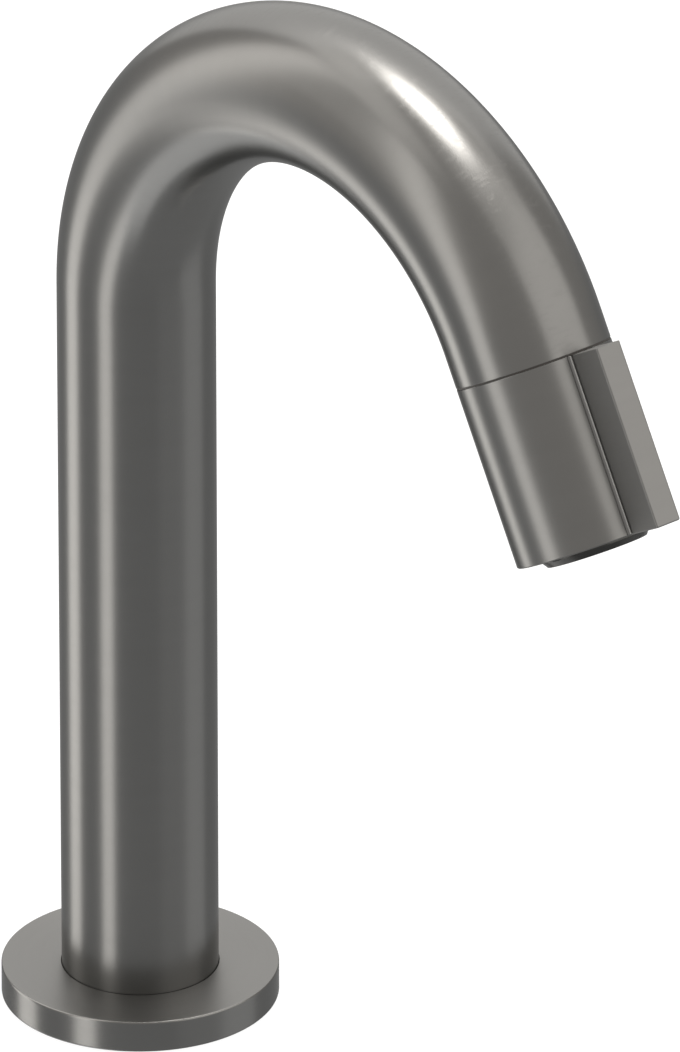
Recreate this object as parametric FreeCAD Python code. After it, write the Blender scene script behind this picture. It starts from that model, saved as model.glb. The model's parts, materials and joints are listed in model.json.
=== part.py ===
"""Basin tap: a swan-neck tube on a round rosette, with a turning sleeve handle at its outlet.

Millimetres, +Z up, spout towards -Y. The origin is the centre of the rosette's underside, on the deck.
Everything at the spout's end is drawn along its own +Z, which points out of the tube with zero at the
tube's end face and +Y on the outer side of the bend, and is then laid onto the outlet axis.
"""
import FreeCAD
import Part
import math
import os

# Swan-neck tube
TUBE_OD = 28.0
TUBE_WALL = 1.5
BEND_START_HEIGHT = 139.5
BEND_RADIUS = 54.0
BEND_ANGLE = 151.0

# Rosette and its seals
ROSETTE_OD = 49.5
ROSETTE_HEIGHT = 5.9
ROSETTE_RECESS_DEPTH = 1.9
ROSETTE_EDGE_ROUND = 0.3
POST_GAP = 0.27
GASKET_INSET = 5.25
GASKET_WIDTH = 5.0
GASKET_THICKNESS = 1.5
FOOT_SEAL_WIDTH = 1.2
FOOT_SEAL_THICKNESS = 0.9

# Inlet: in this tube the plug's wall leaves a half inch pipe thread, 20.955 over its crests
PLUG_WALL = 1.9225
SHANK_WALL = 4.0
SHANK_TAIL = 19.0
SHANK_CHAMFER = 1.0
SHANK_HOLE_GAP = 0.35
THREAD_PITCH = 1.814
THREAD_DEPTH = 1.162
CREST_DROP = 0.15
RELIEF_LENGTH = 2.0
RELIEF_DEPTH = 1.2
PLUG_THREAD_LENGTH = 14.0
PLUG_TOP_THICKNESS = 6.0
SHANK_SEAL_THICKNESS = 1.0
SHANK_SEAL_WIDTH = 2.4

# Fixing under a deck of this thickness
DECK_THICKNESS = 20.0
RUBBER_WASHER_WIDTH = 7.5
RUBBER_WASHER_THICKNESS = 3.0
CLAMP_WASHER_WIDTH = 8.5
CLAMP_WASHER_THICKNESS = 2.0
LOCK_NUT_WALL = 3.0
LOCK_NUT_THICKNESS = 8.0
LOCK_NUT_CHAMFER = 1.2

# Sleeve handle with its lever bar
SLEEVE_LENGTH = 32.4
SLEEVE_WALL = 2.45
BAR_WIDTH = 5.3
BAR_RISE = 7.6
BAR_EDGE_ROUND = 0.45
BAR_ROOT_ROUND = 0.45
WEB_THICKNESS = 5.0
SEAM_GAP = 0.35
EDGE_BREAK = 0.2

# Brass nose in the tube's end
SEAT_DEPTH = 4.0
SEAT_WALL = 1.4
SEAT_LEDGE = 2.0
NECK_WALL = 2.5
NOSE_MARGIN = 0.2
GLIDE_RING_THICKNESS = 0.3
GLIDE_RING_INSET = 0.5

# Quarter-turn cartridge
FIXED_DISC_THICKNESS = 2.2
TURNING_DISC_THICKNESS = 2.0
PORT_HUB_RADIUS = 2.0
PORT_RIM = 1.8
PORT_SWEEP = 76.0
SEAT_SEAL_THICKNESS = 1.8
SEAT_SEAL_WIDTH = 1.6
HOUSING_WALL = 1.45
HOUSING_FLANGE_THICKNESS = 3.0
HOUSING_FLANGE_STEP = 1.0
KEY_WIDTH = 2.2
KEY_DEPTH = 1.0
SPINDLE_SHOULDER = 1.7
SPINDLE_WALL = 2.1
SPINDLE_FLANGE_THICKNESS = 2.4
SPINDLE_POCKET_DEPTH = 1.4
DRIVE_STEP = 0.2
DRIVE_FLAT_DEPTH = 0.9
SPINDLE_THREAD_STEP = 0.3
TANG_WIDTH = 2.2
TANG_LENGTH = 1.5
TANG_DEPTH = 1.2
GLIDE_WASHER_THICKNESS = 0.5
CIRCLIP_THICKNESS = 0.8
CIRCLIP_WIDTH = 1.5
CIRCLIP_DEPTH = 0.6
CIRCLIP_OPENING = 60.0
HANDLE_NUT_WALL = 2.2
HANDLE_NUT_THICKNESS = 3.5
HANDLE_NUT_SLOT = 2.0
HANDLE_NUT_SLOT_DEPTH = 1.5

# Quarter-turn stop: a lug on the sleeve's web runs in the gap of a boss on the housing
TURN_RANGE = 90.0
STOP_BOSS_GAP = 0.2
STOP_BOSS_WALL = 1.6
STOP_BOSS_HEIGHT = 1.6
STOP_LUG_SWEEP = 24.0
STOP_SLACK = 0.5

# Round section seals, by the diameter of the rubber
SPINDLE_RING_SECTION = 1.0
SPINDLE_RING_SPACING = 2.4
HOUSING_RING_SECTION = 1.0
SLEEVE_RING_SECTION = 1.2
RING_GROOVE_SIDE_GAP = 0.15

# Aerator
AERATOR_LENGTH = 9.85
AERATOR_PROUD = 1.5
AERATOR_CONE_LENGTH = 1.0
AERATOR_CONE_STEP = 0.7
AERATOR_OD = 19.4
AERATOR_WALL = 1.35
AERATOR_LIP_WIDTH = 0.7
AERATOR_LIP_THICKNESS = 1.25
AERATOR_SEAL_THICKNESS = 1.5
AERATOR_SEAL_WIDTH = 1.6
HONEYCOMB_THICKNESS = 5.6
HONEYCOMB_CELL = 1.7
HONEYCOMB_PITCH = 2.0
HONEYCOMB_RIM = 0.9
SCREEN_THICKNESS = 0.6
SCREEN_HOLE = 1.0
SCREEN_PITCH = 1.6
REGULATOR_TOP_GAP = 0.2
REGULATOR_HOLES = 8
REGULATOR_HOLE = 1.8
REGULATOR_HUB_RADIUS = 3.0

# Clearances
BRAZE_GAP = 0.05
THREAD_GAP = 0.05
TURNING_FIT = 0.05
FACE_GAP = 0.02
LOOSE_GAP = 0.3
SEAT_GAP = 0.1

# How far a cutter runs past what it cuts, and what counts as the same length
OVERRUN = 1.0
TOLERANCE = 1e-6

# Radii that follow, from the tube inwards
TUBE_R = TUBE_OD / 2
TUBE_BORE_R = TUBE_R - TUBE_WALL
BRAZED_R = TUBE_BORE_R - BRAZE_GAP
PLUG_THREAD_R = BRAZED_R - PLUG_WALL
SHANK_R = PLUG_THREAD_R - THREAD_GAP
SHANK_BORE_R = SHANK_R - SHANK_WALL
SHANK_HOLE_R = SHANK_R + SHANK_HOLE_GAP
THREAD_FLAT = THREAD_PITCH / 6
THREAD_FLANK = THREAD_PITCH / 2 - THREAD_FLAT
RECESS_R = TUBE_R + POST_GAP
GASKET_R = ROSETTE_OD / 2 - GASKET_INSET
SLEEVE_BORE_R = TUBE_R - SLEEVE_WALL
NECK_R = SLEEVE_BORE_R - TURNING_FIT
NOSE_BORE_R = NECK_R - NECK_WALL
HOUSING_R = NOSE_BORE_R - THREAD_GAP
HOUSING_BORE_R = HOUSING_R - HOUSING_WALL
HOUSING_FLANGE_R = NECK_R - HOUSING_FLANGE_STEP
DISC_R = HOUSING_BORE_R - LOOSE_GAP
PORT_R = DISC_R - PORT_RIM
SPINDLE_R = DISC_R - SPINDLE_SHOULDER
SPINDLE_HOLE_R = SPINDLE_R + TURNING_FIT
SPINDLE_BORE_R = SPINDLE_R - SPINDLE_WALL
DRIVE_R = SPINDLE_R - DRIVE_STEP
DRIVE_FLATS = 2 * (DRIVE_R - DRIVE_FLAT_DEPTH)
SPINDLE_THREAD_R = DRIVE_R - SPINDLE_THREAD_STEP
CIRCLIP_R = SPINDLE_R - CIRCLIP_DEPTH + CIRCLIP_WIDTH
STOP_BOSS_BORE_R = CIRCLIP_R + STOP_BOSS_GAP
STOP_BOSS_R = STOP_BOSS_BORE_R + STOP_BOSS_WALL
HANDLE_NUT_R = SPINDLE_THREAD_R + HANDLE_NUT_WALL
CHAMBER_R = HANDLE_NUT_R + LOOSE_GAP
AERATOR_R = AERATOR_OD / 2
AERATOR_BORE_R = AERATOR_R - AERATOR_WALL
AERATOR_HOLE_R = AERATOR_R + THREAD_GAP

# Heights on the post
FOOT_Z = ROSETTE_HEIGHT - ROSETTE_RECESS_DEPTH
PLUG_SHOULDER_Z = FOOT_Z + PLUG_THREAD_LENGTH
PLUG_TOP_Z = PLUG_SHOULDER_Z + PLUG_TOP_THICKNESS
SHANK_TOP_Z = PLUG_SHOULDER_Z - SHANK_SEAL_THICKNESS
CLAMP_WASHER_TOP_Z = -DECK_THICKNESS - RUBBER_WASHER_THICKNESS
LOCK_NUT_TOP_Z = CLAMP_WASHER_TOP_Z - CLAMP_WASHER_THICKNESS
LOCK_NUT_END_Z = LOCK_NUT_TOP_Z - LOCK_NUT_THICKNESS
SHANK_END_Z = LOCK_NUT_END_Z - SHANK_TAIL

# Stations along the outlet axis, from the tube's end face
NOSE_START = -SEAT_DEPTH - SEAT_WALL
SPOUT_STRAIGHT = NOSE_MARGIN - NOSE_START
SEAT = -SEAT_DEPTH
FIXED_DISC_START = SEAT + SEAT_SEAL_THICKNESS
TURNING_DISC_START = FIXED_DISC_START + FIXED_DISC_THICKNESS + FACE_GAP
SPINDLE_START = TURNING_DISC_START + TURNING_DISC_THICKNESS
FLANGE_END = SPINDLE_START + SPINDLE_FLANGE_THICKNESS
HOUSING_SHOULDER = FLANGE_END + GLIDE_WASHER_THICKNESS + FACE_GAP
SLEEVE_END = SEAM_GAP + SLEEVE_LENGTH
AERATOR_END = SLEEVE_END + AERATOR_PROUD
AERATOR_START = AERATOR_END - AERATOR_LENGTH
CHAMBER_END = AERATOR_START - AERATOR_SEAL_THICKNESS
SPINDLE_END = CHAMBER_END - 2 * LOOSE_GAP
WEB_END = SPINDLE_END - LOOSE_GAP - HANDLE_NUT_THICKNESS
WEB_START = WEB_END - WEB_THICKNESS
HOUSING_END = WEB_START - LOOSE_GAP - STOP_BOSS_HEIGHT
CIRCLIP_START = HOUSING_END + FACE_GAP
NECK_END = HOUSING_END - HOUSING_FLANGE_THICKNESS
HONEYCOMB_START = AERATOR_END - AERATOR_LIP_THICKNESS - HONEYCOMB_THICKNESS
SCREEN_START = HONEYCOMB_START - SCREEN_THICKNESS
REGULATOR_START = AERATOR_START + REGULATOR_TOP_GAP

UP = FreeCAD.Vector(0, 0, 1)
ACROSS = FreeCAD.Vector(1, 0, 0)


def point(x, y, z=0.0):
    return FreeCAD.Vector(x, y, z)


def outlet_placement():
    """Where the tube ends: the bend carried round its centre, then the short straight."""
    turn = math.radians(BEND_ANGLE)
    along = point(0, -math.sin(turn), math.cos(turn))
    bend_end = point(0, BEND_RADIUS * (math.cos(turn) - 1),
                     BEND_START_HEIGHT + BEND_RADIUS * math.sin(turn))
    return FreeCAD.Placement(bend_end + along * SPOUT_STRAIGHT,
                             FreeCAD.Rotation(ACROSS, BEND_ANGLE))


def at_outlet(shape):
    return shape.transformed(outlet_placement().toMatrix(), True)


def cylinder(radius, low, high):
    return Part.makeCylinder(radius, high - low, point(0, 0, low))


def ring(outer, inner, low, high):
    return cylinder(outer, low, high).cut(cylinder(inner, low, high))


def turned(profile):
    """Solid of revolution about the axis from (radius, height) corners."""
    corners = [point(radius, 0, height) for radius, height in profile]
    outline = Part.makePolygon(corners + corners[:1])
    return Part.Face(outline).revolve(point(0, 0), UP, 360)


def sector(outer, inner, low, high, middle, sweep):
    """Part of a ring, sweep degrees wide about the middle angle."""
    wedge = Part.makeCylinder(outer, high - low, point(0, 0, low), UP, sweep)
    wedge.rotate(point(0, 0), UP, middle - sweep / 2)
    return wedge.cut(cylinder(inner, low, high))


def block(width, start, reach, low, high, angle):
    """Bar from one radius to another, square to the axis, at an angle from +X."""
    bar = Part.makeBox(reach - start, width, high - low, point(start, -width / 2, low))
    bar.rotate(point(0, 0), UP, angle)
    return bar


def prism(flats, low, high, centre):
    """Hexagonal prism by its width across flats."""
    radius = flats / math.sqrt(3)
    corners = [centre + point(radius * math.cos(turn), radius * math.sin(turn), low)
               for turn in (math.radians(60 * side) for side in range(6))]
    return Part.Face(Part.makePolygon(corners + corners[:1])).extrude(UP * (high - low))


def rims(shape, radius, height):
    """Circular edges of one radius at one height."""
    return [edge for edge in shape.Edges
            if isinstance(edge.Curve, Part.Circle)
            and abs(edge.Curve.Radius - radius) < TOLERANCE
            and abs(edge.Curve.Center.z - height) < TOLERANCE]


def round_seal(section, inner, middle):
    """Rubber ring of round section that stands just clear of the groove it lies in."""
    return Part.makeTorus(inner + section / 2, section / 2 - FACE_GAP, point(0, 0, middle), UP)


def groove(outer, inner, middle, section):
    """Cutter for a seal's groove round a shaft."""
    half = section / 2 + RING_GROOVE_SIDE_GAP
    return ring(outer + OVERRUN, inner, middle - half, middle + half)


def hexagon_grid(pitch, reach):
    """Centres of a hexagonal pattern that lie within reach of the axis."""
    rows = int(reach / pitch) + 2
    centres = []
    for row in range(-rows, rows + 1):
        for column in range(-rows, rows + 1):
            place = point((column + row / 2) * pitch, row * pitch * math.sqrt(3) / 2)
            if place.Length <= reach:
                centres.append(place)
    return centres


# Post, rosette and inlet


def body_tube():
    """Post, bend and short straight as one tube, open at both ends."""
    section = Part.Face([Part.Wire(Part.makeCircle(radius, point(0, 0, BEND_START_HEIGHT)))
                         for radius in (TUBE_R, TUBE_BORE_R)])
    bend = section.revolve(point(0, -BEND_RADIUS, BEND_START_HEIGHT), ACROSS, BEND_ANGLE)
    post = ring(TUBE_R, TUBE_BORE_R, FOOT_Z, BEND_START_HEIGHT)
    end = turned([(TUBE_BORE_R, -SPOUT_STRAIGHT), (TUBE_R, -SPOUT_STRAIGHT),
                  (TUBE_R, -EDGE_BREAK), (TUBE_R - EDGE_BREAK, 0), (TUBE_BORE_R, 0)])
    return post.fuse([bend, at_outlet(end)]).removeSplitter()


def rosette():
    """Round foot with a recess for the post above and a groove for the gasket below."""
    body = ring(ROSETTE_OD / 2, SHANK_HOLE_R, 0, ROSETTE_HEIGHT)
    edges = rims(body, ROSETTE_OD / 2, ROSETTE_HEIGHT) + rims(body, ROSETTE_OD / 2, 0)
    body = body.makeFillet(ROSETTE_EDGE_ROUND, edges)
    recess = cylinder(RECESS_R, FOOT_Z, ROSETTE_HEIGHT)
    gasket_groove = ring(GASKET_R, GASKET_R - GASKET_WIDTH, 0, GASKET_THICKNESS)
    inner, outer = foot_seal_radii()
    seal_groove = ring(outer + SEAT_GAP / 2, inner - SEAT_GAP / 2,
                       FOOT_Z - FOOT_SEAL_THICKNESS, FOOT_Z)
    return body.cut([recess, gasket_groove, seal_groove])


def rosette_gasket():
    return ring(GASKET_R - SEAT_GAP, GASKET_R - GASKET_WIDTH + SEAT_GAP, 0, GASKET_THICKNESS)


def foot_seal_radii():
    """The foot seal lies midway between the shank's hole and the tube's bore."""
    middle = (SHANK_HOLE_R + TUBE_BORE_R) / 2
    return middle - FOOT_SEAL_WIDTH / 2, middle + FOOT_SEAL_WIDTH / 2


def foot_seal():
    inner, outer = foot_seal_radii()
    return ring(outer, inner, FOOT_Z - FOOT_SEAL_THICKNESS, FOOT_Z)


def base_plug():
    """Brass plug brazed into the post's foot, threaded below and bored through above."""
    return turned([(BRAZED_R, FOOT_Z), (BRAZED_R, PLUG_TOP_Z), (SHANK_BORE_R, PLUG_TOP_Z),
                   (SHANK_BORE_R, PLUG_SHOULDER_Z), (PLUG_THREAD_R, PLUG_SHOULDER_Z),
                   (PLUG_THREAD_R, FOOT_Z)])


def shank_seal():
    inner = SHANK_BORE_R + SEAT_GAP
    return ring(inner + SHANK_SEAL_WIDTH, inner, SHANK_TOP_Z, PLUG_SHOULDER_Z)


def thread_grooves(low, high, crest_drop):
    """Corners of as many thread grooves as fit midway between two heights, as rings.

    With no drop the crests are flat lands, and with one they slope down to both sides of an edge.
    """
    count = int((high - low - THREAD_FLAT) / THREAD_PITCH)
    first = (low + high + THREAD_FLAT - count * THREAD_PITCH) / 2
    root = SHANK_R - THREAD_DEPTH
    corners = []
    for start in (first + turn * THREAD_PITCH for turn in range(count)):
        corners += [(SHANK_R - crest_drop, start), (root, start + THREAD_FLANK),
                    (root, start + THREAD_FLANK + THREAD_FLAT),
                    (SHANK_R - crest_drop, start + 2 * THREAD_FLANK + THREAD_FLAT)]
        if crest_drop:
            corners.append((SHANK_R, start + THREAD_PITCH - THREAD_FLAT / 2))
    return corners


def threaded_shank():
    """Hollow shank from inside the plug to its free tail, which a relief groove sets apart.

    The tail's crests are flat, because the hose's nut is measured there, and both ends are bevelled.
    """
    neck = SHANK_R - RELIEF_DEPTH
    tail_start = SHANK_END_Z + SHANK_CHAMFER
    relief_end = LOCK_NUT_END_Z - RELIEF_LENGTH
    tail = thread_grooves(tail_start, relief_end, 0)
    upper = thread_grooves(LOCK_NUT_END_Z, SHANK_TOP_Z, CREST_DROP)
    return turned([(SHANK_BORE_R, SHANK_END_Z), (SHANK_R - SHANK_CHAMFER, SHANK_END_Z),
                   (SHANK_R, tail_start), *tail, (SHANK_R, relief_end), (neck, relief_end),
                   (neck, LOCK_NUT_END_Z), *upper, (neck, SHANK_TOP_Z),
                   (SHANK_BORE_R, SHANK_TOP_Z)])


def under_deck_washer():
    hole = SHANK_R + LOOSE_GAP
    return ring(hole + RUBBER_WASHER_WIDTH, hole, CLAMP_WASHER_TOP_Z, -DECK_THICKNESS)


def clamp_washer():
    hole = SHANK_R + LOOSE_GAP
    outer = hole + CLAMP_WASHER_WIDTH
    washer = ring(outer, hole, LOCK_NUT_TOP_Z, CLAMP_WASHER_TOP_Z)
    return washer.makeChamfer(EDGE_BREAK, rims(washer, outer, LOCK_NUT_TOP_Z))


def lock_nut():
    """Hexagon nut whose corners are turned down on the lower side."""
    across = 2 * (SHANK_R + LOCK_NUT_WALL)
    hexagon = prism(across, LOCK_NUT_END_Z, LOCK_NUT_TOP_Z, point(0, 0))
    corner = across / math.sqrt(3)
    turned_corner = turned([(0, LOCK_NUT_END_Z), (corner - 2 * LOCK_NUT_CHAMFER, LOCK_NUT_END_Z),
                            (corner, LOCK_NUT_END_Z + LOCK_NUT_CHAMFER),
                            (corner, LOCK_NUT_TOP_Z), (0, LOCK_NUT_TOP_Z)])
    hole = cylinder(SHANK_R + THREAD_GAP, LOCK_NUT_END_Z, LOCK_NUT_TOP_Z)
    return hexagon.common(turned_corner).cut(hole)


# Nose and cartridge, fixed to the tube


def sleeve_ring_middle():
    """The sleeve's seal runs near the free end of the nose's neck."""
    return NECK_END - SLEEVE_RING_SECTION - 2 * RING_GROOVE_SIDE_GAP


def spout_nose():
    """Brass bush brazed into the tube's end, with a neck that the sleeve turns on."""
    bore = HOUSING_BORE_R - SEAT_LEDGE
    body = turned([(bore, NOSE_START), (BRAZED_R, NOSE_START), (BRAZED_R, 0), (NECK_R, 0),
                   (NECK_R, NECK_END), (NOSE_BORE_R, NECK_END), (NOSE_BORE_R, SEAT),
                   (bore, SEAT)])
    return body.cut(groove(NECK_R, NECK_R - SLEEVE_RING_SECTION + TURNING_FIT,
                           sleeve_ring_middle(), SLEEVE_RING_SECTION))


def sleeve_ring():
    return round_seal(SLEEVE_RING_SECTION, NECK_R - SLEEVE_RING_SECTION + TURNING_FIT,
                      sleeve_ring_middle())


def glide_ring():
    """Thin dark ring that shows as the line of the seam."""
    return ring(TUBE_R - GLIDE_RING_INSET, NECK_R + SEAT_GAP, 0, GLIDE_RING_THICKNESS)


def housing_ring_middle():
    return NECK_END - HOUSING_RING_SECTION - 2 * RING_GROOVE_SIDE_GAP


def cartridge_housing():
    """Holds the discs, guides the spindle and carries the quarter-turn stop boss."""
    body = turned([(HOUSING_BORE_R, SEAT + LOOSE_GAP), (HOUSING_R, SEAT + LOOSE_GAP),
                   (HOUSING_R, NECK_END), (HOUSING_FLANGE_R, NECK_END),
                   (HOUSING_FLANGE_R, HOUSING_END), (SPINDLE_HOLE_R, HOUSING_END),
                   (SPINDLE_HOLE_R, HOUSING_SHOULDER), (HOUSING_BORE_R, HOUSING_SHOULDER)])
    keys = [block(KEY_WIDTH, DISC_R - KEY_DEPTH, HOUSING_BORE_R + HOUSING_WALL / 2,
                  FIXED_DISC_START, FIXED_DISC_START + FIXED_DISC_THICKNESS, angle)
            for angle in (90, 270)]
    gap = TURN_RANGE + STOP_LUG_SWEEP + 2 * STOP_SLACK
    boss = sector(STOP_BOSS_R, STOP_BOSS_BORE_R, HOUSING_END - LOOSE_GAP,
                  HOUSING_END + STOP_BOSS_HEIGHT, 90, 360 - gap)
    body = body.fuse(keys + [boss]).removeSplitter()
    return body.cut(groove(HOUSING_R, HOUSING_R - HOUSING_RING_SECTION + THREAD_GAP,
                           housing_ring_middle(), HOUSING_RING_SECTION))


def housing_ring():
    return round_seal(HOUSING_RING_SECTION, HOUSING_R - HOUSING_RING_SECTION + THREAD_GAP,
                      housing_ring_middle())


def seat_seal():
    outer = HOUSING_BORE_R - SEAT_GAP
    return ring(outer, outer - SEAT_SEAL_WIDTH, SEAT, FIXED_DISC_START)


def ports(start, end, first):
    """Two sector ports opposite each other."""
    return [sector(PORT_R, PORT_HUB_RADIUS, start, end, angle, PORT_SWEEP)
            for angle in (first, first + 180)]


def notches(width, depth, start, end, first):
    """Two notches in a disc's rim, a little wider than what they take."""
    return [block(width + 2 * SEAT_GAP, DISC_R - depth - SEAT_GAP, DISC_R + OVERRUN, start, end,
                  angle)
            for angle in (first, first + 180)]


def fixed_disc():
    """Ceramic disc that the housing's keys hold still."""
    end = FIXED_DISC_START + FIXED_DISC_THICKNESS
    return cylinder(DISC_R, FIXED_DISC_START, end).cut(
        ports(FIXED_DISC_START, end, 0) + notches(KEY_WIDTH, KEY_DEPTH, FIXED_DISC_START, end, 90))


# Turning parts


def turning_disc():
    """Ceramic disc that the spindle turns; at rest its ports cross those of the fixed disc."""
    end = SPINDLE_START
    return cylinder(DISC_R, TURNING_DISC_START, end).cut(
        ports(TURNING_DISC_START, end, 90)
        + notches(TANG_WIDTH, TANG_DEPTH, end - TANG_LENGTH - SEAT_GAP, end, 0))


def spindle_ring_middles():
    first = HOUSING_END - SPINDLE_RING_SECTION - 2 * RING_GROOVE_SIDE_GAP
    return first, first - SPINDLE_RING_SPACING


def flats(width, low, high):
    """Cutters that leave two flats across an axle."""
    reach = 2 * SPINDLE_R
    return [block(2 * reach, width / 2, reach, low, high, angle) for angle in (0, 180)]


def spindle():
    """Hollow spindle: pocket under the disc, stem with seals, flats for the sleeve, thread."""
    pocket = PORT_R + SEAT_GAP
    pocket_end = SPINDLE_START + SPINDLE_POCKET_DEPTH
    body = turned([(pocket, SPINDLE_START), (DISC_R, SPINDLE_START), (DISC_R, FLANGE_END),
                   (SPINDLE_R, FLANGE_END), (SPINDLE_R, WEB_START), (DRIVE_R, WEB_START),
                   (DRIVE_R, WEB_END), (SPINDLE_THREAD_R, WEB_END),
                   (SPINDLE_THREAD_R, SPINDLE_END), (SPINDLE_BORE_R, SPINDLE_END),
                   (SPINDLE_BORE_R, pocket_end), (pocket, pocket_end)])
    tangs = [block(TANG_WIDTH, DISC_R - TANG_DEPTH, DISC_R - SEAT_GAP,
                   SPINDLE_START - TANG_LENGTH, SPINDLE_START + LOOSE_GAP, angle)
             for angle in (0, 180)]
    ring_grooves = [groove(SPINDLE_R, spindle_ring_floor(), middle, SPINDLE_RING_SECTION)
                    for middle in spindle_ring_middles()]
    clip_groove = ring(SPINDLE_R + OVERRUN, SPINDLE_R - CIRCLIP_DEPTH,
                       CIRCLIP_START - FACE_GAP / 2,
                       CIRCLIP_START + CIRCLIP_THICKNESS + FACE_GAP / 2)
    cutters = ring_grooves + [clip_groove] + flats(DRIVE_FLATS, WEB_START, WEB_END)
    return body.fuse(tangs).removeSplitter().cut(cutters)


def spindle_ring_floor():
    return SPINDLE_R - SPINDLE_RING_SECTION + TURNING_FIT


def spindle_rings():
    """Two seals on the spindle, in one group."""
    return Part.makeCompound([round_seal(SPINDLE_RING_SECTION, spindle_ring_floor(), middle)
                              for middle in spindle_ring_middles()])


def glide_washer():
    return ring(DISC_R, SPINDLE_R + SEAT_GAP, FLANGE_END, FLANGE_END + GLIDE_WASHER_THICKNESS)


def spindle_circlip():
    """Open spring ring that holds the spindle in the housing."""
    return sector(CIRCLIP_R, SPINDLE_R - CIRCLIP_DEPTH + FACE_GAP, CIRCLIP_START,
                  CIRCLIP_START + CIRCLIP_THICKNESS, 90, 360 - CIRCLIP_OPENING)


def sleeve_outline(height):
    """Outline of the sleeve with its bar: one large arc, two root rounds, three flat sides."""
    half = BAR_WIDTH / 2
    root_y = math.sqrt((TUBE_R + BAR_ROOT_ROUND) ** 2 - (half + BAR_ROOT_ROUND) ** 2)
    root_centre = point(half + BAR_ROOT_ROUND, root_y, height)
    on_sleeve = point(root_centre.x, root_centre.y) * (TUBE_R / (TUBE_R + BAR_ROOT_ROUND)) \
        + UP * height
    on_bar = point(half, root_y, height)
    towards = ((on_sleeve - root_centre) + (on_bar - root_centre)).normalize()
    root_middle = root_centre + towards * BAR_ROOT_ROUND
    edge_centre = point(half - BAR_EDGE_ROUND, TUBE_R + BAR_RISE - BAR_EDGE_ROUND, height)
    edge_low = edge_centre + point(BAR_EDGE_ROUND, 0)
    edge_high = edge_centre + point(0, BAR_EDGE_ROUND)
    edge_middle = edge_centre + point(1, 1).normalize() * BAR_EDGE_ROUND

    def mirrored(place):
        return point(-place.x, place.y, place.z)

    right = [Part.Arc(on_sleeve, root_middle, on_bar).toShape(),
             Part.LineSegment(on_bar, edge_low).toShape(),
             Part.Arc(edge_low, edge_middle, edge_high).toShape(),
             Part.LineSegment(edge_high, mirrored(edge_high)).toShape()]
    left = [Part.Arc(mirrored(edge_high), mirrored(edge_middle), mirrored(edge_low)).toShape(),
            Part.LineSegment(mirrored(edge_low), mirrored(on_bar)).toShape(),
            Part.Arc(mirrored(on_bar), mirrored(root_middle), mirrored(on_sleeve)).toShape(),
            Part.Arc(mirrored(on_sleeve), point(0, -TUBE_R, height), on_sleeve).toShape()]
    return Part.Wire(right + left)


def handle_sleeve():
    """Sleeve with its lever bar, bored for the neck, the spindle, the nut and the aerator."""
    body = Part.Face(sleeve_outline(SEAM_GAP)).extrude(UP * SLEEVE_LENGTH)
    ends = [edge for edge in body.Edges if edge.BoundBox.ZLength < TOLERANCE]
    body = body.makeChamfer(EDGE_BREAK, ends)
    drive = cylinder(DRIVE_R + SEAT_GAP / 2, WEB_START, WEB_END).cut(
        flats(DRIVE_FLATS + SEAT_GAP, WEB_START, WEB_END))
    body = body.cut([cylinder(SLEEVE_BORE_R, SEAM_GAP, WEB_START), drive,
                     cylinder(CHAMBER_R, WEB_END, CHAMBER_END),
                     cylinder(AERATOR_HOLE_R, CHAMBER_END, SLEEVE_END)])
    lug = sector(STOP_BOSS_R - SEAT_GAP, STOP_BOSS_BORE_R + SEAT_GAP, HOUSING_END + LOOSE_GAP,
                 WEB_START + LOOSE_GAP, 270 - TURN_RANGE / 2, STOP_LUG_SWEEP)
    return body.fuse(lug).removeSplitter()


def handle_nut():
    """Round nut with spanner slots that holds the sleeve on the spindle."""
    end = WEB_END + HANDLE_NUT_THICKNESS
    slots = [block(HANDLE_NUT_SLOT, 0, 2 * HANDLE_NUT_R, end - HANDLE_NUT_SLOT_DEPTH, end, angle)
             for angle in (0, 90, 180, 270)]
    return ring(HANDLE_NUT_R, SPINDLE_THREAD_R + THREAD_GAP, WEB_END, end).cut(slots)


# Aerator


def aerator_seal():
    outer = AERATOR_HOLE_R - SEAT_GAP
    return ring(outer, outer - AERATOR_SEAL_WIDTH, CHAMBER_END, AERATOR_START)


def aerator_shell():
    """Threaded ring that shows below the sleeve as a short cone, with a lip inside."""
    cone_start = AERATOR_END - AERATOR_CONE_LENGTH
    lip_start = AERATOR_END - AERATOR_LIP_THICKNESS
    lip = AERATOR_BORE_R - AERATOR_LIP_WIDTH
    return turned([(AERATOR_BORE_R, AERATOR_START), (AERATOR_R, AERATOR_START),
                   (AERATOR_R, cone_start), (AERATOR_R - AERATOR_CONE_STEP, AERATOR_END),
                   (lip, AERATOR_END), (lip, lip_start), (AERATOR_BORE_R, lip_start)])


def aerator_insert():
    """Honeycomb that straightens the jet."""
    outer = AERATOR_BORE_R - THREAD_GAP
    end = HONEYCOMB_START + HONEYCOMB_THICKNESS
    cells = [prism(HONEYCOMB_CELL, HONEYCOMB_START, end, centre)
             for centre in hexagon_grid(HONEYCOMB_PITCH, outer - HONEYCOMB_RIM - HONEYCOMB_CELL / 2)]
    return cylinder(outer, HONEYCOMB_START, end).cut(cells)


def aerator_screen():
    """Perforated steel disc above the honeycomb."""
    outer = AERATOR_BORE_R - THREAD_GAP
    holes = [Part.makeCylinder(SCREEN_HOLE / 2, SCREEN_THICKNESS, centre + UP * SCREEN_START)
             for centre in hexagon_grid(SCREEN_PITCH, outer - SCREEN_HOLE)]
    return cylinder(outer, SCREEN_START, HONEYCOMB_START).cut(holes)


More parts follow.
